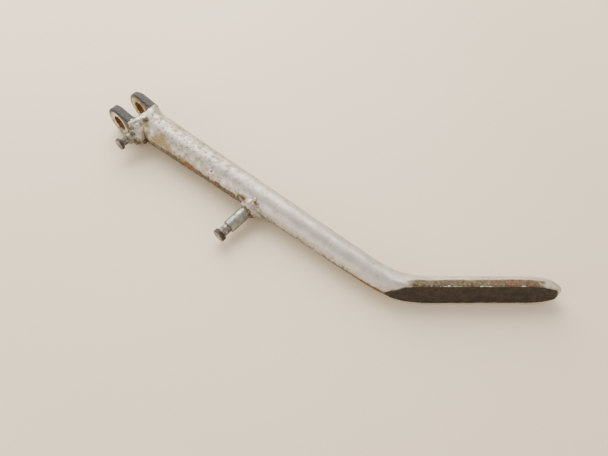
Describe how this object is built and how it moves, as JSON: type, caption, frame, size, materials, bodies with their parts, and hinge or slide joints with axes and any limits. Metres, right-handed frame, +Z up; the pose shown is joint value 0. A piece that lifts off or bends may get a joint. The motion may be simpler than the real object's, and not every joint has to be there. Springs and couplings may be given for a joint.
{
  "type": "motorcycle side stand leg",
  "caption": "Bare side stand of a motorcycle: a forged pivot fork, a tapered tube bent into a pressed foot with a flat sole, and turned spring posts welded to its side.",
  "frame": {"origin": "middle of the pivot bore, halfway between the two ears of the fork", "axes": "+Y along the pivot bore, towards the side that the foot is bent to; +X across the bore and down the leg; +Z up from the surface that the stand lies on"},
  "size_m": [0.328, 0.1271, 0.025],
  "materials": {
    "silver_paint": "worn silver paint with rust and grime",
    "bare_steel": "dull plated steel with brown grime in the grooves"
  },
  "bodies": {
    "root": {"clevis_fork": "silver_paint", "leg_tube": "silver_paint", "fork_ring_weld": "silver_paint", "lower_post_weld": "silver_paint", "upper_post_weld": "silver_paint", "foot_tip_weld": "silver_paint", "lower_spring_post": "bare_steel", "upper_spring_post": "bare_steel"}
  },
  "joints": []
}
